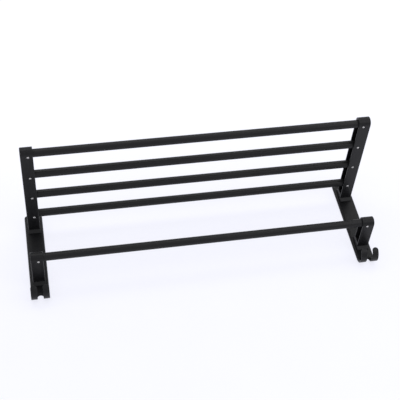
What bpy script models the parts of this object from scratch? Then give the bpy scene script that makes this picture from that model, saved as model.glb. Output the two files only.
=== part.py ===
"""Wall-mounted towel rack: a four-rail shelf, a towel bar and two double hooks.

The rack lies on its back: the wall plates' back faces are on z = 0, +Z points out of the
wall, +Y points up the wall and X runs along the rails. All lengths are in metres.
"""

import math

import bmesh
import bpy

# --- driving dimensions -------------------------------------------------------------------

OVERALL_WIDTH = 0.600
GAP = 0.0003  # between pieces that touch

# Wall plates: a flat bar with rounded front edges, whose slotted lower end is bent into two hooks
PLATE_WIDTH = 0.031
PLATE_THICKNESS = 0.0042
PLATE_FRONT_ROUND = 0.0036
PLATE_BACK_CHAMFER = 0.0004
PLATE_CORNER_RADIUS = 0.0050
PLATE_ABOVE_SHELF = 0.0276  # from the shelf's arms up to the plate's end
PLATE_BELOW_SHELF = 0.1420  # from the shelf's arms down to where the hooks start to bend
HOOK_RADIUS = 0.0174  # of the back face along the bend
HOOK_SWEEP = math.radians(167)
HOOK_SLOT_WIDTH = 0.0098
HOOK_SLOT_START = 0.0026  # past the start of the bend

# Arms: channels that are open towards the rails, each on a flared foot
ARM_WIDTH = 0.0208
ARM_DEPTH = 0.0190
ARM_WALL = 0.0023
ARM_OUTER_ROUND = 0.0014
ARM_CHAMFER = 0.0004
SHELF_TIP_MARGIN = 0.0020  # from the last rail's axis to the centre of the round tip
BAR_TIP_MARGIN = 0.0004
FOOT_LENGTH = 0.0306
FOOT_WIDTH = 0.0214
FOOT_EDGE_HEIGHT = 0.0012
FOOT_RISE = 0.0031  # of the sloping top, above the edge
FOOT_BLOCK_TOP = 0.0160  # where the arm's channel starts
SHELF_TO_BAR = 0.1120  # between the two pairs of arms, along the wall

# Rails
RAIL_RADIUS = 0.0069
RAIL_WALL = 0.0013
FIRST_RAIL_HEIGHT = 0.0420
RAIL_SPACING = 0.0510
SHELF_RAILS = 4
BAR_HEIGHT = 0.0635

# Screws that hold the rails, through the arms' lower walls
RAIL_SCREW_INSET = 0.0023  # from the arm's middle towards the rack's middle
RAIL_SCREW_RADIUS = 0.0010
RAIL_SCREW_HEAD_RADIUS = 0.0020
RAIL_SCREW_HEAD_HEIGHT = 0.0015
RAIL_SCREW_LENGTH = 0.0080
COUNTERBORE_RADIUS = 0.0027
COUNTERBORE_DEPTH = 0.0008

# Countersunk screws that hold the arms, from the plates' back faces
ARM_SCREW_OFFSET = 0.0060  # along the wall, either side of the arm's middle
ARM_SCREW_RADIUS = 0.0020
ARM_SCREW_HEAD_RADIUS = 0.0038
ARM_SCREW_TIP = 0.0130

ROUND_SEGMENTS = 40
SCREW_SEGMENTS = 16
FILLET_STEPS = 4
BEND_STEPS = 20

# --- places that follow from them ----------------------------------------------------------

LOWEST_Y = -PLATE_BELOW_SHELF - HOOK_RADIUS
SHELF_Y = -(PLATE_ABOVE_SHELF + LOWEST_Y) / 2  # puts the origin midway along the plates
BAR_Y = SHELF_Y - SHELF_TO_BAR
BRACKET_X = (OVERALL_WIDTH - PLATE_WIDTH) / 2
BEND_Y = SHELF_Y - PLATE_BELOW_SHELF
RAIL_HEIGHTS = [FIRST_RAIL_HEIGHT + RAIL_SPACING * index for index in range(SHELF_RAILS)]
RAIL_HALF_LENGTH = BRACKET_X + ARM_WIDTH / 2 - ARM_WALL - GAP
FOOT_BOTTOM = PLATE_THICKNESS + GAP
SIDES = {"left": -1, "right": 1}


# --- helpers ---------------------------------------------------------------------------------

def make_material(name, colour, roughness, metallic):
    """A Principled material with one colour."""
    material = bpy.data.materials.new(name)
    material.use_nodes = True
    shader = material.node_tree.nodes["Principled BSDF"]
    shader.inputs["Base Color"].default_value = (*colour, 1.0)
    shader.inputs["Roughness"].default_value = roughness
    shader.inputs["Metallic"].default_value = metallic
    material.diffuse_color = (*colour, 1.0)
    return material


def make_object(name, mesh_builder, material=None, location=(0, 0, 0)):
    """Put a bmesh into a named object, smooth on its round faces."""
    bmesh.ops.recalc_face_normals(mesh_builder, faces=mesh_builder.faces)
    mesh = bpy.data.meshes.new(name)
    mesh_builder.to_mesh(mesh)
    mesh_builder.free()
    mesh.shade_smooth()
    mesh.set_sharp_from_angle(angle=math.radians(35))
    piece = bpy.data.objects.new(name, mesh)
    piece.location = location
    bpy.context.scene.collection.objects.link(piece)
    if material:
        mesh.materials.append(material)
    return piece


def add_stack(mesh_builder, rings):
    """A closed body through rings of equal length, with a flat face on each end."""
    loops = [[mesh_builder.verts.new(point) for point in ring] for ring in rings]
    count = len(loops[0])
    for lower, upper in zip(loops, loops[1:]):
        for i in range(count):
            j = (i + 1) % count
            mesh_builder.faces.new((lower[i], lower[j], upper[j], upper[i]))
    mesh_builder.faces.new(loops[0])
    mesh_builder.faces.new(loops[-1])


def arc(centre, radius, start, end, steps):
    """Points on an arc in a plane, with both ends."""
    angles = [start + (end - start) * i / steps for i in range(steps + 1)]
    return [(centre[0] + radius * math.cos(a), centre[1] + radius * math.sin(a)) for a in angles]


def turned_rings(profile, segments):
    """Rings about the Z axis through (radius, height) pairs."""
    turns = [2 * math.pi * i / segments for i in range(segments)]
    return [[(r * math.cos(t), r * math.sin(t), h) for t in turns] for r, h in profile]


def boolean(target, tool, operation):
    """Join or cut with a tool object, which stays hidden."""
    tool.hide_render = True
    tool.display_type = "WIRE"
    modifier = target.modifiers.new(tool.name, "BOOLEAN")
    modifier.object = tool
    modifier.operation = operation
    modifier.solver = "EXACT"


# --- wall plates and their hooks -------------------------------------------------------------

def blank_outline(inset):
    """Outline of the unbent plate, moved inwards by inset: far end, sides, prongs and slot."""
    half = PLATE_WIDTH / 2
    far = SHELF_Y + PLATE_ABOVE_SHELF
    corner = PLATE_CORNER_RADIUS
    slot = HOOK_SLOT_WIDTH / 2
    prong = (half - slot) / 2
    middle = slot + prong
    tip = BEND_Y - HOOK_RADIUS * HOOK_SWEEP + prong
    root = BEND_Y - HOOK_SLOT_START - slot
    quarter = math.pi / 2
    points = []
    points += arc((half - corner, far - corner), corner - inset, quarter, 0, 6)
    points += arc((middle, tip), prong - inset, 0, -2 * quarter, 12)
    points += arc((0, root), slot + inset, 0, 2 * quarter, 12)
    points += arc((-middle, tip), prong - inset, 0, -2 * quarter, 12)
    points += arc((-half + corner, far - corner), corner - inset, 2 * quarter, quarter, 6)
    return points


def bend(point):
    """Curl a point of the flat blank round the hooks' axis, once it is past the bend's start."""
    x, y, z = point
    past = BEND_Y - y
    if past <= 0:
        return point
    angle = past / HOOK_RADIUS
    radius = HOOK_RADIUS - z
    return (x, BEND_Y - radius * math.sin(angle), HOOK_RADIUS - radius * math.cos(angle))


def countersink_rings(x, y, clearance):
    """The hollow for one countersunk screw, from behind the plate up into the arm's foot."""
    wide = ARM_SCREW_HEAD_RADIUS + clearance
    narrow = ARM_SCREW_RADIUS + clearance
    profile = [(wide + 0.001, -0.001), (wide, 0), (narrow, wide - narrow), (narrow, ARM_SCREW_TIP + 0.001)]
    return [[(px + x, py + y, pz) for px, py, pz in ring] for ring in turned_rings(profile, SCREW_SEGMENTS)]


def make_plate(side, material):
    """One wall plate: a rounded flat bar, slotted and bent into two hooks at its lower end."""
    levels = [(PLATE_BACK_CHAMFER, 0), (0, PLATE_BACK_CHAMFER)]
    quarter = arc((PLATE_FRONT_ROUND, PLATE_THICKNESS - PLATE_FRONT_ROUND), PLATE_FRONT_ROUND,
                  math.pi, math.pi / 2, FILLET_STEPS)
    levels += quarter
    blank = bmesh.new()
    add_stack(blank, [[(x, y, z) for x, y in blank_outline(inset)] for inset, z in levels])
    for step in range(BEND_STEPS):
        cut_y = BEND_Y - HOOK_RADIUS * HOOK_SWEEP * step / BEND_STEPS
        geometry = list(blank.verts) + list(blank.edges) + list(blank.faces)
        bmesh.ops.bisect_plane(blank, geom=geometry, dist=1e-7, plane_co=(0, cut_y, 0), plane_no=(0, 1, 0))
    for vertex in blank.verts:
        vertex.co = bend(tuple(vertex.co))
    plate = make_object(f"wall_plate_{side}", blank, material, (SIDES[side] * BRACKET_X, 0, 0))

    holes = bmesh.new()
    for arm_y in (SHELF_Y, BAR_Y):
        for offset in (-ARM_SCREW_OFFSET, ARM_SCREW_OFFSET):
            add_stack(holes, countersink_rings(0, arm_y + offset, GAP))
    tool = make_object(f"cutter_plate_{side}", holes, location=plate.location)
    boolean(plate, tool, "DIFFERENCE")


# --- arms --------------------------------------------------------------------------------------

def arm_outline(half_depth, bottom, tip_centre):
    """Side view of a bar with a half-round tip, as (y, z) pairs."""
    points = [(half_depth, bottom)]
    points += arc((0, tip_centre), half_depth, 0, math.pi, 16)
    points.append((-half_depth, bottom))
    return points


def make_arm(name, side, arm_y, rail_heights, tip_margin, material):
    """One arm: a channel open towards the rails, on a flared foot, with its screw holes."""
    sign = SIDES[side]
    half_width = ARM_WIDTH / 2
    half_depth = ARM_DEPTH / 2
    tip_centre = rail_heights[-1] + tip_margin
    place = (sign * BRACKET_X, arm_y, 0)

    levels = [(ARM_CHAMFER, -half_width), (0, ARM_CHAMFER - half_width)]
    levels += arc((ARM_OUTER_ROUND, half_width - ARM_OUTER_ROUND), ARM_OUTER_ROUND,
                  math.pi, math.pi / 2, FILLET_STEPS)
    column = bmesh.new()
    add_stack(column, [
        [(sign * x, y, z) for y, z in arm_outline(half_depth - inset, FOOT_BOTTOM + GAP, tip_centre)]
        for inset, x in levels
    ])
    arm = make_object(name, column, material, place)

    edge_top = FOOT_BOTTOM + FOOT_EDGE_HEIGHT
    flare = (FOOT_LENGTH - ARM_DEPTH) / 2 + GAP
    foot_levels = [(0, 0, FOOT_BOTTOM), (0, 0, edge_top), (0.0008, flare, edge_top + FOOT_RISE)]
    foot = bmesh.new()
    rings = []
    for narrow, shorten, z in foot_levels:
        x = FOOT_WIDTH / 2 - narrow
        y = FOOT_LENGTH / 2 - shorten
        rings.append([(x, y, z), (-x, y, z), (-x, -y, z), (x, -y, z)])
    add_stack(foot, rings)
    boolean(arm, make_object(f"tool_foot_{name}", foot, location=place), "UNION")

    pocket_half = half_depth - ARM_WALL
    lip = 0.0005
    pocket_levels = [(ARM_CHAMFER + lip, -half_width - lip), (0, ARM_CHAMFER - half_width),
                     (0, half_width - ARM_WALL)]
    pocket = bmesh.new()
    add_stack(pocket, [
        [(sign * x, y, z) for y, z in arm_outline(pocket_half + outset, FOOT_BLOCK_TOP - outset, rail_heights[-1])]
        for outset, x in pocket_levels
    ])
    boolean(arm, make_object(f"cutter_pocket_{name}", pocket, location=place), "DIFFERENCE")

    holes = bmesh.new()
    hole_profile = [(COUNTERBORE_RADIUS, -0.001), (COUNTERBORE_RADIUS, COUNTERBORE_DEPTH),
                    (RAIL_SCREW_RADIUS + GAP, COUNTERBORE_DEPTH), (RAIL_SCREW_RADIUS + GAP, ARM_WALL + 0.001)]
    for height in rail_heights:
        rings = turned_rings(hole_profile, SCREW_SEGMENTS)
        add_stack(holes, [[(px - sign * RAIL_SCREW_INSET, pz - half_depth, py + height) for px, py, pz in ring]
                          for ring in rings])
    for offset in (-ARM_SCREW_OFFSET, ARM_SCREW_OFFSET):
        add_stack(holes, countersink_rings(0, offset, GAP))
    boolean(arm, make_object(f"cutter_holes_{name}", holes, location=place), "DIFFERENCE")


# --- rails ---------------------------------------------------------------------------------------

def make_rail(name, y, z, material):
    """One tube with a screw hole in its lower side near each end."""
    inner = RAIL_RADIUS - RAIL_WALL
    half = RAIL_HALF_LENGTH
    tube = bmesh.new()
    outline = [(RAIL_RADIUS, -half), (RAIL_RADIUS, half), (inner, half), (inner, -half)]
    loops = []
    for ring in turned_rings(outline, ROUND_SEGMENTS):
        loops.append([tube.verts.new((pz, px, py)) for px, py, pz in ring])
    for first, second in zip(loops, loops[1:] + loops[:1]):
        for i in range(ROUND_SEGMENTS):
            j = (i + 1) % ROUND_SEGMENTS
            tube.faces.new((first[i], first[j], second[j], second[i]))
    rail = make_object(name, tube, material, (0, y, z))

    holes = bmesh.new()
    hole_profile = [(RAIL_SCREW_RADIUS + GAP, -RAIL_RADIUS - 0.001), (RAIL_SCREW_RADIUS + GAP, 0)]
    for sign in SIDES.values():
        x = sign * (BRACKET_X - RAIL_SCREW_INSET)
        rings = turned_rings(hole_profile, SCREW_SEGMENTS)
        add_stack(holes, [[(px + x, pz, py) for px, py, pz in ring] for ring in rings])
    boolean(rail, make_object(f"cutter_{name}", holes, location=rail.location), "DIFFERENCE")


# --- screws --------------------------------------------------------------------------------------

def make_rail_screw_mesh():
    """A pan-head screw along Y: its head is towards -Y and its origin is on the arm's surface."""
    seat = COUNTERBORE_DEPTH - GAP
    crown = seat - RAIL_SCREW_HEAD_HEIGHT
    edge = crown + 0.0008
    profile = [(RAIL_SCREW_RADIUS * 0.5, RAIL_SCREW_LENGTH), (RAIL_SCREW_RADIUS, RAIL_SCREW_LENGTH - 0.001),
               (RAIL_SCREW_RADIUS, seat), (RAIL_SCREW_HEAD_RADIUS, seat)]
    dome = arc((0, edge), 1, 0, -math.pi / 2, 4)
    profile += [(RAIL_SCREW_HEAD_RADIUS * r, edge + (edge - crown) * (h - edge)) for r, h in dome[:-1]]
    screw = bmesh.new()
    add_stack(screw, [[(px, pz, py) for px, py, pz in ring] for ring in turned_rings(profile, SCREW_SEGMENTS)])
    return screw


def make_arm_screw_mesh():
    """A countersunk screw along Z: its head is flush with the plate's back face."""
    wide = ARM_SCREW_HEAD_RADIUS
    narrow = ARM_SCREW_RADIUS
    profile = [(wide, GAP), (narrow, GAP + wide - narrow), (narrow, ARM_SCREW_TIP - 0.001),
               (narrow * 0.5, ARM_SCREW_TIP)]
    screw = bmesh.new()
    add_stack(screw, turned_rings(profile, SCREW_SEGMENTS))
    return screw


# --- the whole rack --------------------------------------------------------------------------------

def build():
    """Make every piece of the rack."""
    for leftover in list(bpy.data.objects):
        bpy.data.objects.remove(leftover, do_unlink=True)

    plate_coat = make_material("black_plate_coat", (0.018, 0.018, 0.020), 0.42, 0.0)
    arm_coat = make_material("black_arm_coat", (0.018, 0.018, 0.020), 0.40, 0.0)
    rail_coat = make_material("black_rail_coat", (0.020, 0.020, 0.022), 0.36, 0.0)
    bright_steel = make_material("bright_screw_steel", (0.75, 0.75, 0.74), 0.22, 1.0)
    plain_steel = make_material("zinc_screw_steel", (0.55, 0.56, 0.58), 0.35, 1.0)

    for side, sign in SIDES.items():
        make_plate(side, plate_coat)
        make_arm(f"shelf_arm_{side}", side, SHELF_Y, RAIL_HEIGHTS, SHELF_TIP_MARGIN, arm_coat)
        make_arm(f"bar_arm_{side}", side, BAR_Y, [BAR_HEIGHT], BAR_TIP_MARGIN, arm_coat)

        screw_x = sign * (BRACKET_X - RAIL_SCREW_INSET)
        for number, height in enumerate(RAIL_HEIGHTS, start=1):
            place = (screw_x, SHELF_Y - ARM_DEPTH / 2, height)
            make_object(f"rail_screw_{side}_{number}", make_rail_screw_mesh(), bright_steel, place)
        place = (screw_x, BAR_Y - ARM_DEPTH / 2, BAR_HEIGHT)
        make_object(f"bar_screw_{side}", make_rail_screw_mesh(), bright_steel, place)

        for kind, arm_y in (("shelf", SHELF_Y), ("bar", BAR_Y)):
            for end, offset in (("upper", ARM_SCREW_OFFSET), ("lower", -ARM_SCREW_OFFSET)):
                place = (sign * BRACKET_X, arm_y + offset, 0)
                name = f"{kind}_arm_screw_{side}_{end}"
                make_object(name, make_arm_screw_mesh(), plain_steel, place)

    for number, height in enumerate(RAIL_HEIGHTS, start=1):
        make_rail(f"shelf_rail_{number}", SHELF_Y, height, rail_coat)
    make_rail("towel_bar", BAR_Y, BAR_HEIGHT, rail_coat)


build()
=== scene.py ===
"""The looks of the wall towel rack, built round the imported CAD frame.

The rack lies on its back on a pale floor: +Z points out of the wall, +Y up the wall and X runs
along the rails. All lengths are in metres.
"""

import math

import bmesh
import bpy
from mathutils import Matrix, Vector


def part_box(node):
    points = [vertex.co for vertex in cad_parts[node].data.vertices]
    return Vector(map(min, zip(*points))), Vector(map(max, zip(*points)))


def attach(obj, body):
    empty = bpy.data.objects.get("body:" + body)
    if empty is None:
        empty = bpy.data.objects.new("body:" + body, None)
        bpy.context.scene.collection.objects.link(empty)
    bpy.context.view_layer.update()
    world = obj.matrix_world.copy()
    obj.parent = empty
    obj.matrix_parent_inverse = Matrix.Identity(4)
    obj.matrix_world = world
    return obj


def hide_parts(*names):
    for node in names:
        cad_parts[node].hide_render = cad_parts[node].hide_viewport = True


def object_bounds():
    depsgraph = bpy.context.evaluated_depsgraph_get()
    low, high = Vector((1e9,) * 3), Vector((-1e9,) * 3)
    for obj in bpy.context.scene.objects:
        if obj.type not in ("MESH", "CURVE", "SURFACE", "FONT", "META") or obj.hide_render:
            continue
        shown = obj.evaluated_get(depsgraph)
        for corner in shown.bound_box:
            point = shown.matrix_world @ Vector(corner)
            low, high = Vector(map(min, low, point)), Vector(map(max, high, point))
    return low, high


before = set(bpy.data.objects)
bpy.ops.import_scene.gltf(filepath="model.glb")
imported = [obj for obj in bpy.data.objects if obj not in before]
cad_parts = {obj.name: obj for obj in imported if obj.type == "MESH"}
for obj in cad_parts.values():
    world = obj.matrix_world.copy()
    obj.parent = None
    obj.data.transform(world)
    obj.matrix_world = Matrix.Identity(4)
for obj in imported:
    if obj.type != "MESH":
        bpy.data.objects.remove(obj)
cad_low, cad_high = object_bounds()

# --- details that the frame's boxes don't give ---------------------------------------------------

FINE_EDGE = 0.0003  # of small edges that are broken but stay crisp
OVERSHOOT = 0.0010  # how far a cutter runs past the surface that it cuts
SHARP_ANGLE = math.radians(35)
FLAT_WEIGHT = 100  # how strongly large faces set the shading, at most 100
SLIVER = 0.000002  # points closer together than this are one point
CUT_SNAP = 0.0000001  # a cut goes through the points that are nearer to it than this
QUARTER = math.pi / 2

# Facets
EDGE_STEPS = 3  # round a small broken edge
LIP_STEPS = 4  # round the lips of an arm's channel
FOOT_FILLET_STEPS = 5
FOOT_CORNER_STEPS = 6
ROUND_STEPS = 10  # round the larger edges and a screw's domed head
PLATE_CORNER_STEPS = 14
PRONG_STEPS = 28  # round a prong's tip and the slot's end
TIP_STEPS = 48  # round an arm's tip
BEND_STEPS = 48  # along the hooks' curl
SCREW_SEGMENTS = 36
BORE_SEGMENTS = 40
RAIL_BORE_SEGMENTS = 32
RAIL_SEGMENTS = 96

# Wall plates
PLATE_THICKNESS = 0.0042
PLATE_FRONT_ROUND = 0.0036
PLATE_BACK_ROUND = 0.0004
PLATE_CORNER_RADIUS = 0.0050
PLATE_BLANK_LENGTH = 0.1696  # from the far end to where the hooks start to bend
HOOK_RADIUS = 0.0174  # of the back face along the bend
HOOK_SWEEP = math.radians(167)
HOOK_SLOT_WIDTH = 0.0098
HOOK_SLOT_START = 0.0026  # past the start of the bend

# Arms
ARM_WIDTH = 0.0208
ARM_DEPTH = 0.0190
ARM_WALL = 0.0023
ARM_OUTER_ROUND = 0.0014
ARM_LIP_ROUND = 0.0008
POCKET_FLOOR_ROUND = 0.0003
POCKET_BOTTOM = 0.0160
FOOT_EDGE_HEIGHT = 0.0012
FOOT_SLOPE_RISE = 0.0031
FOOT_CORNER_RADIUS = 0.0010
FOOT_FILLET = 0.0008
FOOT_FILLET_STOP = math.radians(8)  # short of upright

# Rails
RAIL_WALL = 0.0013
RAIL_END_ROUND = 0.0003

# Screws
RAIL_SCREW_RADIUS = 0.0010
RAIL_SCREW_HEAD_HEIGHT = 0.0015
RAIL_SCREW_NECK = 0.0006  # of plain shank, between the head and the thread
DOME_SHARE = 0.62  # of the head's height that is domed
HOLE_CLEARANCE = 0.0003
COUNTERBORE_RADIUS = 0.0027
COUNTERBORE_DEPTH = 0.0008
ARM_SCREW_RADIUS = 0.0020
ARM_SCREW_NECK = 0.0008
HEAD_EDGE = 0.0001  # of the broken edge round a head
THREAD_PITCH = 0.0007
THREAD_DEPTH = 0.00018
THREAD_STEPS = 8  # rings for each turn of the thread
POINT_TAPER = 0.45  # of the shank's radius, lost by the time it reaches the tip
TAPER_TURNS = 2.2  # of thread, along the tapered point
CROSS_REACH = 0.58  # of the head's radius, as are the next two
CROSS_HALF_WIDTH = 0.16
CROSS_DEPTH = 0.52
CROSS_REACH_TAPER = 0.45  # of the cross's reach that is left at its bottom
CROSS_WIDTH_TAPER = 0.7  # and of its width
CROSS_LEAD = 0.0002  # how far above the head the recess's cutter starts
GOLDEN_ANGLE = math.radians(137.5)  # between one screw's turn and the next one's

SIDES = {"left": -1, "right": 1}  # the rack's sides, and which way each lies along X
ARMS = ("shelf", "bar")
ENDS = ("upper", "lower")


# --- shader nodes --------------------------------------------------------------------------------

# Places of the colour sockets on a mix node, which has a set of sockets for each kind of value
MIX_FACTOR = 0
MIX_FIRST = 6
MIX_SECOND = 7
MIX_RESULT = 2

BEVEL_SAMPLES = 6
FLAT_COSINE = 0.995  # of the angle between a face and its rounded edge, where wear starts
EDGE_COSINE = 0.90  # and where it is full
FULL_SPAN = (0.0, 1.0)


def add_node(tree, kind, inputs=None, **settings):
    """A shader node, with its settings and its inputs as values or as other nodes' outputs."""
    node = tree.nodes.new("ShaderNode" + kind)
    for key, value in settings.items():
        setattr(node, key, value)
    for key, value in (inputs or {}).items():
        if isinstance(value, bpy.types.NodeSocket):
            tree.links.new(value, node.inputs[key])
        else:
            node.inputs[key].default_value = value
    return node


def new_material(name):
    """An empty Principled material, as (material, tree, shader, object coordinates)."""
    material = bpy.data.materials.new(name)
    material.use_nodes = True
    tree = material.node_tree
    coordinates = add_node(tree, "TexCoord").outputs["Object"]
    return material, tree, tree.nodes["Principled BSDF"], coordinates


def noise(tree, vector, scale, detail=2.0, roughness=0.5):
    """Noise from 0 to 1, with scale in lumps per metre."""
    inputs = {"Vector": vector, "Scale": scale, "Detail": detail, "Roughness": roughness}
    return add_node(tree, "TexNoise", inputs).outputs["Fac"]


def stretched(tree, vector, scales):
    """Coordinates multiplied by a scale of their own along each axis."""
    return add_node(tree, "VectorMath", {0: vector, 1: scales}, operation="MULTIPLY").outputs[0]


def ramp(tree, value, span, to_span):
    """A value's span mapped to another span, clamped at both ends."""
    inputs = {
        "Value": value,
        "From Min": span[0],
        "From Max": span[1],
        "To Min": to_span[0],
        "To Max": to_span[1],
    }
    return add_node(tree, "MapRange", inputs).outputs["Result"]


def maths(tree, operation, first, second):
    """One arithmetic step."""
    return add_node(tree, "Math", {0: first, 1: second}, operation=operation).outputs[0]


def blend_colours(tree, factor, first, second):
    """A colour between two colours, each given as three numbers or as another node's output."""
    inputs = {MIX_FACTOR: factor}
    for key, colour in ((MIX_FIRST, first), (MIX_SECOND, second)):
        given_by_node = isinstance(colour, bpy.types.NodeSocket)
        inputs[key] = colour if given_by_node else (*colour, 1.0)
    return add_node(tree, "Mix", inputs, data_type="RGBA").outputs[MIX_RESULT]


def bump(tree, height, distance, normal=None):
    """A bump of that depth in metres, on top of another one if given."""
    inputs = {"Height": height, "Distance": distance, "Strength": 1.0}
    if normal:
        inputs["Normal"] = normal
    return add_node(tree, "Bump", inputs).outputs["Normal"]


def edge_mask(tree, radius):
    """0 on flat and gently curved faces, up to 1 on crisp edges."""
    rounded = add_node(tree, "Bevel", {"Radius": radius}, samples=BEVEL_SAMPLES).outputs["Normal"]
    straight = add_node(tree, "NewGeometry").outputs["Normal"]
    both = {0: rounded, 1: straight}
    same = add_node(tree, "VectorMath", both, operation="DOT_PRODUCT").outputs["Value"]
    return ramp(tree, same, (FLAT_COSINE, EDGE_COSINE), FULL_SPAN)


# --- materials -----------------------------------------------------------------------------------

WIDE_SPAN = (0.3, 0.7)  # the part of a noise's range that most of it fills

# Powder coat, with scales in lumps per metre
CLOUD_SCALE = 22.0
TOUCH_SCALE = 95.0
PEEL_SCALE = 700.0
GRAIN_SCALE = 3600.0
STREAK_SCALES = (5.0, 1400.0, 1400.0)
PEEL_SPAN = (0.35, 0.65)
FLECK_SPAN = (0.60, 0.72)  # of the grain, so that only its peaks are flecks
WEAR_SPAN = (0.45, 0.70)
GLOSS_SPAN = (0.25, 0.75)
CLOUD_SHARE = 0.4  # of the mottle
PEEL_SHARE = 0.6  # of the mottle
FLECK_STRENGTH = 0.35
WORN_COAT = (0.045, 0.045, 0.048)
WORN_EDGE = 0.0007
LEAST_WEAR = 0.25  # of the full wear, on an edge's least worn stretches
WEAR_POLISH = 0.08  # how much less rough a worn edge is
BROAD_GLOSS = 0.035  # the roughness's swing, from one cloud to the next
FINE_GLOSS = 0.030  # and within a cloud
GRAIN_DEPTH_SHARE = 0.22  # of the peel's depth
COATS = {
    "plate_coat": {
        "dark": (0.0030, 0.0030, 0.0036),
        "light": (0.0068, 0.0068, 0.0074),
        "roughness": 0.37,
        "specular": 0.225,
        "peel_depth": 0.000034,
    },
    "arm_coat": {
        "dark": (0.0030, 0.0030, 0.0036),
        "light": (0.0068, 0.0068, 0.0074),
        "roughness": 0.38,
        "specular": 0.220,
        "peel_depth": 0.000030,
    },
    "rail_coat": {
        "dark": (0.0034, 0.0034, 0.0040),
        "light": (0.0076, 0.0076, 0.0084),
        "roughness": 0.40,
        "specular": 0.240,
        "peel_depth": 0.000022,
        "streak_depth": 0.0000030,
    },
}

# Plated steel
PLATING_SCALE = 900.0
PLATING_SPAN = (0.35, 0.7)
PLATING_GLOSS = (-0.05, 0.07)  # added to the roughness of bright and of dull patches
DENT_SCALE = 3000.0
DENT_DEPTH = 0.0000045
TURNING_SCALE = 1900.0
TURNING_DEPTH = 0.0000035
TURNING_WOBBLE = 1.5  # how far the turned rings stray from round
STEELS = {
    "screw_steel": {
        "bright": (0.64, 0.63, 0.62),
        "dull": (0.47, 0.46, 0.45),
        "roughness": 0.26,
    },
    "hidden_screw_steel": {
        "bright": (0.56, 0.57, 0.60),
        "dull": (0.40, 0.41, 0.43),
        "roughness": 0.34,
    },
}

# Floor
FLOOR_MOTTLE_SCALE = 7.0
FLOOR_DARK = (0.215, 0.215, 0.215)
FLOOR_LIGHT = (0.225, 0.225, 0.225)
FLOOR_ROUGHNESS = (0.62, 0.70)
FLOOR_SPECULAR = 0.15
FLOOR_GRAIN_SCALE = 1500.0
FLOOR_GRAIN_DEPTH = 0.00002
# Painted light on the floor: its own glow is stronger behind the rack and fades far from it, which
# pales the shadows on it. Its base colour stays dark, so most of the floor's brightness comes from
# the glow.
GLOW_COLOUR = (0.900, 0.906, 1.0)
GLOW_DEPTH = (0.0, 0.45)  # from the rack's middle to behind it, along Y
GLOW_STRENGTH = (0.815, 0.885)
GLOW_FADE_DISTANCE = (1.2, 7.0)  # from the rack
GLOW_FADE_STRENGTH = (1.0, 0.74)


def powder_coat(name, dark, light, roughness, specular, peel_depth, streak_depth=0.0):
    """Satin black powder coat: fine orange peel, cloudy gloss, and thinner, paler edges."""
    material, tree, shader, place = new_material(name)
    cloud = noise(tree, place, CLOUD_SCALE, 3.0, 0.6)
    touch = noise(tree, place, TOUCH_SCALE, 4.0, 0.65)
    peel = noise(tree, place, PEEL_SCALE)
    grain = noise(tree, place, GRAIN_SCALE, 1.0)

    cloudy = ramp(tree, cloud, WIDE_SPAN, (0.0, CLOUD_SHARE))
    peeled = ramp(tree, peel, PEEL_SPAN, (0.0, PEEL_SHARE))
    base = blend_colours(tree, maths(tree, "ADD", cloudy, peeled), dark, light)
    flecks = ramp(tree, grain, FLECK_SPAN, (0.0, FLECK_STRENGTH))
    base = blend_colours(tree, flecks, base, WORN_COAT)
    patches = ramp(tree, touch, WEAR_SPAN, (LEAST_WEAR, 1.0))
    wear = maths(tree, "MULTIPLY", edge_mask(tree, WORN_EDGE), patches)
    tree.links.new(blend_colours(tree, wear, base, WORN_COAT), shader.inputs["Base Color"])

    swing = (roughness - BROAD_GLOSS, roughness + BROAD_GLOSS)
    broad = ramp(tree, cloud, GLOSS_SPAN, swing)
    fine = ramp(tree, touch, WIDE_SPAN, (-FINE_GLOSS, FINE_GLOSS))
    gloss = maths(tree, "ADD", broad, fine)
    polish = maths(tree, "MULTIPLY", wear, -WEAR_POLISH)
    tree.links.new(maths(tree, "ADD", gloss, polish), shader.inputs["Roughness"])

    relief = bump(tree, peel, peel_depth)
    relief = bump(tree, grain, peel_depth * GRAIN_DEPTH_SHARE, relief)
    if streak_depth:
        lines = noise(tree, stretched(tree, place, STREAK_SCALES), 1.0)
        relief = bump(tree, lines, streak_depth, relief)
    tree.links.new(relief, shader.inputs["Normal"])
    shader.inputs["Specular IOR Level"].default_value = specular
    shader.inputs["Metallic"].default_value = 0.0
    return material


def plated_steel(name, bright, dull, roughness):
    """Plated screw steel: turned rings, tiny dents and patches of duller plating."""
    material, tree, shader, place = new_material(name)
    patches = noise(tree, place, PLATING_SCALE, 3.0, 0.6)
    dents = noise(tree, place, DENT_SCALE)
    turning = {
        "Vector": place,
        "Scale": TURNING_SCALE,
        "Distortion": TURNING_WOBBLE,
        "Detail": 1.0,
    }
    wave = add_node(tree, "TexWave", turning, wave_type="RINGS", rings_direction="Y")
    dullness = ramp(tree, patches, PLATING_SPAN, FULL_SPAN)
    tree.links.new(blend_colours(tree, dullness, bright, dull), shader.inputs["Base Color"])
    swing = [roughness + change for change in PLATING_GLOSS]
    gloss = ramp(tree, patches, WIDE_SPAN, swing)
    tree.links.new(gloss, shader.inputs["Roughness"])
    relief = bump(tree, wave.outputs["Fac"], TURNING_DEPTH)
    relief = bump(tree, dents, DENT_DEPTH, relief)
    tree.links.new(relief, shader.inputs["Normal"])
    shader.inputs["Metallic"].default_value = 1.0
    return material


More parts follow.
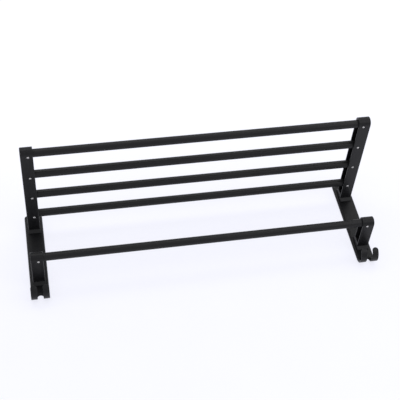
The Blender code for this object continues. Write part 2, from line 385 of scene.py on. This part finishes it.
def pale_floor():
    """A white table top with a faint mottle, and painted light: it glows, more so behind the rack,
    which pales the shadows on it.
    """
    material, tree, shader, place = new_material("pale_floor")
    mottle = noise(tree, place, FLOOR_MOTTLE_SCALE, 3.0, 0.55)
    lightness = ramp(tree, mottle, WIDE_SPAN, FULL_SPAN)
    colour = blend_colours(tree, lightness, FLOOR_DARK, FLOOR_LIGHT)
    tree.links.new(colour, shader.inputs["Base Color"])
    tree.links.new(ramp(tree, mottle, WIDE_SPAN, FLOOR_ROUGHNESS), shader.inputs["Roughness"])
    grain = noise(tree, place, FLOOR_GRAIN_SCALE)
    tree.links.new(bump(tree, grain, FLOOR_GRAIN_DEPTH), shader.inputs["Normal"])
    shader.inputs["Specular IOR Level"].default_value = FLOOR_SPECULAR

    # Painted light: the glow is stronger behind the rack and fades with distance from it
    depth = add_node(tree, "SeparateXYZ", {"Vector": place}).outputs["Y"]
    near_glow = ramp(tree, depth, GLOW_DEPTH, GLOW_STRENGTH)
    distance = add_node(tree, "VectorMath", {0: place}, operation="LENGTH").outputs["Value"]
    glow_fade = ramp(tree, distance, GLOW_FADE_DISTANCE, GLOW_FADE_STRENGTH)
    glow = maths(tree, "MULTIPLY", near_glow, glow_fade)
    tree.links.new(glow, shader.inputs["Emission Strength"])
    shader.inputs["Emission Color"].default_value = (*GLOW_COLOUR, 1.0)
    return material


# --- mesh helpers --------------------------------------------------------------------------------

def arc(centre, radius, start, end, steps):
    """Points on an arc in a plane, with both ends."""
    angles = [start + (end - start) * i / steps for i in range(steps + 1)]
    return [(centre[0] + radius * math.cos(a), centre[1] + radius * math.sin(a)) for a in angles]


def turned_rings(profile, segments):
    """Rings about the Z axis through (radius, height) pairs."""
    turns = [2 * math.pi * i / segments for i in range(segments)]
    return [[(r * math.cos(t), r * math.sin(t), h) for t in turns] for r, h in profile]


def loft(rings, closed_ends=True):
    """A body through rings of equal length. Without closed ends, the last ring meets the first."""
    body = bmesh.new()
    loops = [[body.verts.new(point) for point in ring] for ring in rings]
    count = len(loops[0])
    following = loops[1:] if closed_ends else loops[1:] + loops[:1]
    for lower, upper in zip(loops, following):
        for i in range(count):
            j = (i + 1) % count
            body.faces.new((lower[i], lower[j], upper[j], upper[i]))
    if closed_ends:
        body.faces.new(loops[0])
        body.faces.new(loops[-1])
    return body


def make_object(name, body, place=(0, 0, 0)):
    """Put a bmesh into an object."""
    bmesh.ops.recalc_face_normals(body, faces=body.faces)
    mesh = bpy.data.meshes.new(name)
    body.to_mesh(mesh)
    body.free()
    piece = bpy.data.objects.new(name, mesh)
    piece.location = place
    bpy.context.scene.collection.objects.link(piece)
    return piece


def combine(piece, operation, body):
    """Join a body to a piece or cut it out of the piece, for good."""
    tool = make_object(f"{piece.name}_tool", body, piece.location)
    modifier = piece.modifiers.new("combine", "BOOLEAN")
    modifier.object = tool
    modifier.operation = operation
    modifier.solver = "EXACT"
    bpy.context.view_layer.update()
    evaluated = piece.evaluated_get(bpy.context.evaluated_depsgraph_get())
    result = bpy.data.meshes.new_from_object(evaluated)
    piece.modifiers.clear()
    piece.data = result
    bpy.data.objects.remove(tool)


def clean(mesh):
    """Merge points that coincide and drop the slivers that the cuts leave."""
    body = bmesh.new()
    body.from_mesh(mesh)
    bmesh.ops.remove_doubles(body, verts=body.verts, dist=SLIVER)
    bmesh.ops.dissolve_degenerate(body, edges=body.edges, dist=SLIVER)
    body.to_mesh(mesh)
    body.free()


def dress(piece, node, material):
    """Smooth shading that keeps flats flat, the finish, and the CAD node it stands for."""
    clean(piece.data)
    piece.data.shade_smooth()
    piece.data.set_sharp_from_angle(angle=SHARP_ANGLE)
    weighted = piece.modifiers.new("flat_faces_stay_flat", "WEIGHTED_NORMAL")
    weighted.keep_sharp = True
    weighted.weight = FLAT_WEIGHT
    piece.data.materials.clear()
    piece.data.materials.append(material)
    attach(piece, "root")
    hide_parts(node)


# --- wall plates ---------------------------------------------------------------------------------

def plate_outline(inset, width, far):
    """Outline of the unbent plate, moved inwards by inset: far end, sides, prongs and slot."""
    half = width / 2
    corner = PLATE_CORNER_RADIUS
    slot = HOOK_SLOT_WIDTH / 2
    prong = (half - slot) / 2
    middle = slot + prong
    bend_start = far - PLATE_BLANK_LENGTH
    tip = bend_start - HOOK_RADIUS * HOOK_SWEEP + prong
    root = bend_start - HOOK_SLOT_START - slot
    corner_x = half - corner
    corner_y = far - corner
    points = arc((corner_x, corner_y), corner - inset, QUARTER, 0, PLATE_CORNER_STEPS)
    points += arc((middle, tip), prong - inset, 0, -2 * QUARTER, PRONG_STEPS)
    points += arc((0, root), slot + inset, 0, 2 * QUARTER, PRONG_STEPS)
    points += arc((-middle, tip), prong - inset, 0, -2 * QUARTER, PRONG_STEPS)
    points += arc((-corner_x, corner_y), corner - inset, 2 * QUARTER, QUARTER, PLATE_CORNER_STEPS)
    return points


def bend(point, bend_start):
    """Curl a point of the flat blank round the hooks' axis, once it is past the bend's start."""
    x, y, z = point
    past = bend_start - y
    if past <= 0:
        return point
    angle = past / HOOK_RADIUS
    radius = HOOK_RADIUS - z
    return (x, bend_start - radius * math.sin(angle), HOOK_RADIUS - radius * math.cos(angle))


def countersink(place_y, head_radius, tip):
    """The hollow for one countersunk screw, from behind the plate up into the arm's foot."""
    wide = head_radius + HOLE_CLEARANCE
    narrow = ARM_SCREW_RADIUS + HOLE_CLEARANCE
    profile = [
        (wide + OVERSHOOT, -OVERSHOOT),
        (wide, 0),
        (narrow, wide - narrow),
        (narrow, tip + OVERSHOOT),
    ]
    rings = turned_rings(profile, BORE_SEGMENTS)
    return loft([[(x, y + place_y, z) for x, y, z in ring] for ring in rings])


def cut_across(body, cut_y):
    """Split the faces of a body where they cross a plane square to Y."""
    geometry = list(body.verts) + list(body.edges) + list(body.faces)
    plane = {"plane_co": (0, cut_y, 0), "plane_no": (0, 1, 0)}
    bmesh.ops.bisect_plane(body, geom=geometry, dist=CUT_SNAP, **plane)


def build_plate(side, material):
    """One wall plate: a rounded flat bar, slotted and bent into two hooks at its lower end."""
    node = f"wall_plate_{side}"
    low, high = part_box(node)
    bend_start = high.y - PLATE_BLANK_LENGTH
    back_centre = (PLATE_BACK_ROUND, PLATE_BACK_ROUND)
    back = arc(back_centre, PLATE_BACK_ROUND, 3 * QUARTER, 2 * QUARTER, EDGE_STEPS)
    front_centre = (PLATE_FRONT_ROUND, PLATE_THICKNESS - PLATE_FRONT_ROUND)
    front = arc(front_centre, PLATE_FRONT_ROUND, 2 * QUARTER, QUARTER, ROUND_STEPS)
    width = high.x - low.x
    rings = []
    for inset, z in back + front:
        rings.append([(x, y, z) for x, y in plate_outline(inset, width, high.y)])
    body = loft(rings)

    screws = [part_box(f"{arm}_arm_screw_{side}_{end}") for arm in ARMS for end in ENDS]
    curl = HOOK_RADIUS * HOOK_SWEEP
    bends = [bend_start - curl * step / BEND_STEPS for step in range(BEND_STEPS)]
    screw_lines = [(screw_low.y + screw_high.y) / 2 for screw_low, screw_high in screws]
    for cut_y in bends + screw_lines:  # a line through each screw keeps holes out of the faces
        cut_across(body, cut_y)
    for vertex in body.verts:
        vertex.co = bend(tuple(vertex.co), bend_start)
    centre_x = (low.x + high.x) / 2
    piece = make_object(f"{node}_coated", body, (centre_x, 0, 0))
    for y, (screw_low, screw_high) in zip(screw_lines, screws):
        head_radius = (screw_high.y - screw_low.y) / 2
        combine(piece, "DIFFERENCE", countersink(y, head_radius, screw_high.z))
    dress(piece, node, material)


# --- arms ----------------------------------------------------------------------------------------

def arm_outline(half_depth, bottom, tip_centre):
    """Side view of a bar with a half-round tip, as (y, z) pairs."""
    points = [(half_depth, bottom)]
    points += arc((0, tip_centre), half_depth, 0, 2 * QUARTER, TIP_STEPS)
    points.append((-half_depth, bottom))
    return points


def rounded_rectangle(half_x, half_y, radius):
    """A rectangle with round corners, as (x, y) pairs."""
    points = []
    for turn, (sx, sy) in enumerate(((1, 1), (-1, 1), (-1, -1), (1, -1))):
        centre = (sx * (half_x - radius), sy * (half_y - radius))
        points += arc(centre, radius, turn * QUARTER, (turn + 1) * QUARTER, FOOT_CORNER_STEPS)
    return points


def lip_arc():
    """The rounded lip at an arm's open side, as (inset, x) pairs."""
    centre = (ARM_LIP_ROUND, -ARM_WIDTH / 2 + ARM_LIP_ROUND)
    return arc(centre, ARM_LIP_ROUND, 3 * QUARTER, 2 * QUARTER, LIP_STEPS)


def foot_body(foot_width, foot_length, bottom):
    """The flared foot: a low edge, a slope up to the arm, and a small fillet against it."""
    edge_top = bottom + FOOT_EDGE_HEIGHT
    run = (foot_length - ARM_DEPTH) / 2
    slope = math.atan2(FOOT_SLOPE_RISE, run)
    levels = [(FINE_EDGE, bottom), (0, bottom + FINE_EDGE)]
    edge_centre = (FINE_EDGE, edge_top - FINE_EDGE)
    levels += arc(edge_centre, FINE_EDGE, 2 * QUARTER, 2 * QUARTER - slope, EDGE_STEPS)
    trim = FOOT_FILLET * math.tan((QUARTER - slope) / 2)  # of the slope, where the fillet starts
    fillet_start_z = edge_top + FOOT_SLOPE_RISE - trim * math.sin(slope)
    levels.append((run - trim * math.cos(slope), fillet_start_z))
    centre = (run - FOOT_FILLET, fillet_start_z + FOOT_FILLET * math.cos(slope))
    start = -QUARTER + slope
    levels += arc(centre, FOOT_FILLET, start, -FOOT_FILLET_STOP, FOOT_FILLET_STEPS)[1:]
    levels.append((run + OVERSHOOT / 2, levels[-1][1] + FINE_EDGE))
    rings = []
    for inset, z in levels:
        narrow = min(inset, (foot_width - ARM_WIDTH) / 2 + FINE_EDGE)
        radius = max(FOOT_CORNER_RADIUS - inset, FINE_EDGE)
        outline = rounded_rectangle(foot_width / 2 - narrow, foot_length / 2 - inset, radius)
        rings.append([(x, y, z) for x, y in outline])
    return loft(rings)


def pocket_body(sign, last_rail_height):
    """The channel's hollow, with a rounded mouth and a small fillet round its floor."""
    half_width = ARM_WIDTH / 2
    pocket_half = ARM_DEPTH / 2 - ARM_WALL
    floor_x = half_width - ARM_WALL
    floor_centre = (-POCKET_FLOOR_ROUND, floor_x - POCKET_FLOOR_ROUND)
    floor = arc(floor_centre, POCKET_FLOOR_ROUND, 0, QUARTER, EDGE_STEPS)
    levels = [(ARM_LIP_ROUND, -half_width - OVERSHOOT)] + lip_arc() + floor
    rings = []
    for outset, x in levels:
        outline = arm_outline(pocket_half + outset, POCKET_BOTTOM - outset, last_rail_height)
        rings.append([(sign * x, y, z) for y, z in outline])
    return loft(rings)


def screw_bore(x, surface_y, height):
    """The counterbored hole for a rail's screw, through the arm's lower wall."""
    narrow = RAIL_SCREW_RADIUS + HOLE_CLEARANCE
    rim = COUNTERBORE_RADIUS + FINE_EDGE / 2
    profile = [
        (rim, -OVERSHOOT),
        (rim, 0),
        (COUNTERBORE_RADIUS, FINE_EDGE / 2),
        (COUNTERBORE_RADIUS, COUNTERBORE_DEPTH),
        (narrow, COUNTERBORE_DEPTH),
        (narrow, ARM_WALL + OVERSHOOT),
    ]
    rings = turned_rings(profile, BORE_SEGMENTS)
    return loft([[(px + x, pz + surface_y, py + height) for px, py, pz in ring] for ring in rings])


def build_arm(kind, side, rails, screws, material):
    """One arm: a channel open towards the rails, on a flared foot, with its screw holes."""
    node = f"{kind}_arm_{side}"
    sign = SIDES[side]
    low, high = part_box(node)
    centre = (low + high) / 2
    half_depth = ARM_DEPTH / 2
    tip_centre = high.z - half_depth
    shoulder_centre = (ARM_OUTER_ROUND, ARM_WIDTH / 2 - ARM_OUTER_ROUND)
    shoulder = arc(shoulder_centre, ARM_OUTER_ROUND, 2 * QUARTER, QUARTER, ROUND_STEPS)
    rings = []
    for inset, x in lip_arc() + shoulder:
        outline = arm_outline(half_depth - inset, low.z + FINE_EDGE, tip_centre)
        rings.append([(sign * x, y, z) for y, z in outline])
    piece = make_object(f"{node}_coated", loft(rings), (centre.x, centre.y, 0))
    combine(piece, "UNION", foot_body(high.x - low.x, high.y - low.y, low.z))
    last_low, last_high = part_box(rails[-1])
    combine(piece, "DIFFERENCE", pocket_body(sign, (last_low.z + last_high.z) / 2))
    for screw in screws:
        screw_low, screw_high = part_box(screw)
        x = (screw_low.x + screw_high.x) / 2 - centre.x
        combine(piece, "DIFFERENCE", screw_bore(x, -half_depth, (screw_low.z + screw_high.z) / 2))
    for end in ENDS:
        screw_low, screw_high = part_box(f"{kind}_arm_screw_{side}_{end}")
        y = (screw_low.y + screw_high.y) / 2 - centre.y
        head_radius = (screw_high.y - screw_low.y) / 2
        combine(piece, "DIFFERENCE", countersink(y, head_radius, screw_high.z))
    dress(piece, node, material)


# --- rails ---------------------------------------------------------------------------------------

def build_rail(node, screws, material):
    """One tube with softened ends and a screw hole in its lower side near each end."""
    low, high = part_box(node)
    centre = (low + high) / 2
    half = (high.x - low.x) / 2
    radius = (high.z - low.z) / 2
    bore = radius - RAIL_WALL
    soft = RAIL_END_ROUND
    section = arc((half - soft, radius - soft), soft, QUARTER, 0, EDGE_STEPS)
    section += arc((half - soft, bore + soft), soft, 0, -QUARTER, EDGE_STEPS)
    section += [(-x, r) for x, r in reversed(section)]
    turns = [2 * math.pi * i / RAIL_SEGMENTS for i in range(RAIL_SEGMENTS)]
    rings = [[(x, r * math.cos(t), r * math.sin(t)) for t in turns] for x, r in section]
    piece = make_object(f"{node}_coated", loft(rings, closed_ends=False), centre)
    hole = RAIL_SCREW_RADIUS + HOLE_CLEARANCE
    for screw in screws:
        screw_low, screw_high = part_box(screw)
        x = (screw_low.x + screw_high.x) / 2
        tool = turned_rings([(hole, -radius - OVERSHOOT), (hole, 0)], RAIL_BORE_SEGMENTS)
        drill = loft([[(px + x, pz, py) for px, py, pz in ring] for ring in tool])
        combine(piece, "DIFFERENCE", drill)
    dress(piece, node, material)


# --- screws --------------------------------------------------------------------------------------

def cross_recess(head_radius):
    """A tapered cross, from just above a screw's head down to its blunt point, along Z."""
    wide = CROSS_REACH * head_radius
    thick = CROSS_HALF_WIDTH * head_radius
    rings = []
    for reach, half_width, z in (
        (wide, thick, -CROSS_LEAD),
        (wide * CROSS_REACH_TAPER, thick * CROSS_WIDTH_TAPER, CROSS_DEPTH * head_radius),
    ):
        outline = []
        for turn in range(4):
            c, s = math.cos(turn * QUARTER), math.sin(turn * QUARTER)
            for x, y in ((reach, -half_width), (reach, half_width), (half_width, half_width)):
                outline.append((c * x - s * y, s * x + c * y, z))
        rings.append(outline)
    return loft(rings)


def threaded_screw(head_profile, radius, thread_start, tip):
    """A screw along +Z: its turned head, then a shank with a helical thread and a blunt point."""
    turns = [2 * math.pi * i / SCREW_SEGMENTS for i in range(SCREW_SEGMENTS)]
    rings = turned_rings(head_profile, SCREW_SEGMENTS)
    steps = math.ceil((tip - thread_start) / THREAD_PITCH * THREAD_STEPS)
    taper = TAPER_TURNS * THREAD_PITCH
    for step in range(steps + 1):
        z = thread_start + (tip - thread_start) * step / steps
        glow_fade = min(1.0, (z - thread_start) / THREAD_PITCH, (tip - z) / THREAD_PITCH)
        point = min(1.0, 1 - POINT_TAPER + (tip - z) / taper * POINT_TAPER)
        ring = []
        for t in turns:
            phase = (z / THREAD_PITCH - t / (2 * math.pi)) % 1.0
            cut = THREAD_DEPTH * glow_fade * abs(2 * phase - 1)
            r = (radius - cut) * point
            ring.append((r * math.cos(t), r * math.sin(t), z))
        rings.append(ring)
    return loft(rings)


def build_rail_screw(node, index, material):
    """A bright pan-head screw that points along +Y."""
    low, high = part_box(node)
    head_radius = (high.x - low.x) / 2
    head = RAIL_SCREW_HEAD_HEIGHT
    length = high.y - low.y
    profile = []
    for step in range(1, ROUND_STEPS + 1):
        a = QUARTER * step / ROUND_STEPS
        profile.append((head_radius * math.sin(a), head * DOME_SHARE * (1 - math.cos(a))))
    profile += [
        (head_radius, head - HEAD_EDGE),
        (head_radius - HEAD_EDGE, head),
        (RAIL_SCREW_RADIUS, head),
    ]
    body = threaded_screw(profile, RAIL_SCREW_RADIUS, head + RAIL_SCREW_NECK, length)
    own_turn = Matrix.Rotation(index * GOLDEN_ANGLE, 4, "Z")
    turn_to_y = Matrix.Rotation(-QUARTER, 4, "X")
    body.transform(own_turn)
    body.transform(turn_to_y)
    place = ((low.x + high.x) / 2, low.y, (low.z + high.z) / 2)
    piece = make_object(f"{node}_plated", body, place)
    recess = cross_recess(head_radius)
    recess.transform(turn_to_y @ own_turn)
    combine(piece, "DIFFERENCE", recess)
    dress(piece, node, material)


def build_arm_screw(node, index, material):
    """A countersunk screw that points along +Z, its head flush with the plate's back."""
    low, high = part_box(node)
    head_radius = (high.x - low.x) / 2
    cone = head_radius - ARM_SCREW_RADIUS
    profile = [(head_radius - HEAD_EDGE, 0), (head_radius, HEAD_EDGE), (ARM_SCREW_RADIUS, cone)]
    length = high.z - low.z
    body = threaded_screw(profile, ARM_SCREW_RADIUS, cone + ARM_SCREW_NECK, length)
    place = ((low.x + high.x) / 2, (low.y + high.y) / 2, low.z)
    piece = make_object(f"{node}_plated", body, place)
    recess = cross_recess(head_radius)
    recess.transform(Matrix.Rotation(index * GOLDEN_ANGLE, 4, "Z"))
    combine(piece, "DIFFERENCE", recess)
    dress(piece, node, material)


# --- the camera, the lights and the floor --------------------------------------------------------

CAMERA_PLACE = (-0.2706, -1.0172, 1.3678)
CAMERA_TURN = (39.8365, -3.5516, -10.3403)  # degrees
CAMERA_LENS = 87.70  # millimetres, as is the next one
CAMERA_SENSOR = 36.0
CAMERA_NEAREST = 0.05

SKY_COLOUR = (0.95, 0.96, 1.0)
SKY_BRIGHTEST = (0.0, 0.60, 0.80)  # the direction of its brightest part, behind and above
SKY_SPAN = (-0.6, 0.8)  # of the cosine of the angle to that direction
SKY_STRENGTH = (0.74, 0.92)

# Each softbox's place, its size, its power in watts and its colour
SOFTBOXES = {
    "key": ((0.0, 0.72, 1.45), (2.4, 0.55), 6.0, (1.0, 0.99, 0.97)),
    "side": ((0.95, -0.45, 1.10), (0.9, 1.1), 3.4, (0.98, 0.98, 1.0)),
}

FLOOR_REACH = 30.0
FLOOR_DROP = 0.0002  # below the plates' backs


def build_camera():
    """The camera that sees the rack from above its front left."""
    camera = bpy.data.cameras.new("camera")
    camera.lens = CAMERA_LENS
    camera.sensor_width = CAMERA_SENSOR
    camera.clip_start = CAMERA_NEAREST
    holder = bpy.data.objects.new("camera", camera)
    holder.location = CAMERA_PLACE
    holder.rotation_euler = [math.radians(angle) for angle in CAMERA_TURN]
    bpy.context.scene.collection.objects.link(holder)
    bpy.context.scene.camera = holder


def add_softbox(name, place, size, power, colour):
    """A rectangular area light that faces the rack's middle."""
    light = bpy.data.lights.new(name, "AREA")
    light.shape = "RECTANGLE"
    light.size, light.size_y = size
    light.energy = power
    light.color = colour
    holder = bpy.data.objects.new(name, light)
    holder.location = place
    direction = Vector((0.0, 0.0, 0.0)) - Vector(place)
    holder.rotation_euler = direction.to_track_quat("-Z", "Y").to_euler()
    bpy.context.scene.collection.objects.link(holder)


def build_sky():
    """White surroundings, brightest behind and above the rack."""
    world = bpy.data.worlds.new("studio")
    bpy.context.scene.world = world
    world.use_nodes = True
    tree = world.node_tree
    direction = add_node(tree, "TexCoord").outputs["Generated"]
    both = {0: direction, 1: SKY_BRIGHTEST}
    lean = add_node(tree, "VectorMath", both, operation="DOT_PRODUCT").outputs["Value"]
    background = tree.nodes["Background"]
    background.inputs["Color"].default_value = (*SKY_COLOUR, 1.0)
    tree.links.new(ramp(tree, lean, SKY_SPAN, SKY_STRENGTH), background.inputs["Strength"])


def build_floor():
    """The wide table top that the rack lies on."""
    signs = [(-1, -1), (1, -1), (1, 1), (-1, 1)]
    corners = [(x * FLOOR_REACH, y * FLOOR_REACH, 0) for x, y in signs]
    table = bpy.data.meshes.new("floor")
    table.from_pydata(corners, [], [(0, 1, 2, 3)])
    table.materials.append(pale_floor())
    floor = bpy.data.objects.new("floor", table)
    floor.location.z = cad_low.z - FLOOR_DROP
    bpy.context.scene.collection.objects.link(floor)


def build_studio():
    """The surroundings, the softboxes and the floor, in plain display colours."""
    bpy.context.scene.view_settings.view_transform = "Standard"
    build_sky()
    for name, softbox in SOFTBOXES.items():
        add_softbox(name, *softbox)
    build_floor()


# --- the whole rack ------------------------------------------------------------------------------

def rail_screw(rail, side):
    """The node of the screw that holds one end of a rail."""
    if rail == "towel_bar":
        return f"bar_screw_{side}"
    return rail.replace("shelf_rail", f"rail_screw_{side}")


def build_rack():
    """Every piece of the rack, each in place of its CAD node."""
    coats = {name: powder_coat(name, **look) for name, look in COATS.items()}
    steels = {name: plated_steel(name, **look) for name, look in STEELS.items()}

    shelf_rails = sorted(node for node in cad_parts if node.startswith("shelf_rail_"))
    bright_screws = []
    for side in SIDES:
        shelf_screws = [rail_screw(rail, side) for rail in shelf_rails]
        bar_screws = [rail_screw("towel_bar", side)]
        build_plate(side, coats["plate_coat"])
        build_arm("shelf", side, shelf_rails, shelf_screws, coats["arm_coat"])
        build_arm("bar", side, ["towel_bar"], bar_screws, coats["arm_coat"])
        bright_screws += shelf_screws + bar_screws

    for rail in shelf_rails + ["towel_bar"]:
        build_rail(rail, [rail_screw(rail, side) for side in SIDES], coats["rail_coat"])

    for index, node in enumerate(bright_screws):
        build_rail_screw(node, index, steels["screw_steel"])
    hidden_screws = sorted(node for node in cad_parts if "_arm_screw_" in node)
    for index, node in enumerate(hidden_screws):
        build_arm_screw(node, index, steels["hidden_screw_steel"])


build_camera()
build_studio()
build_rack()
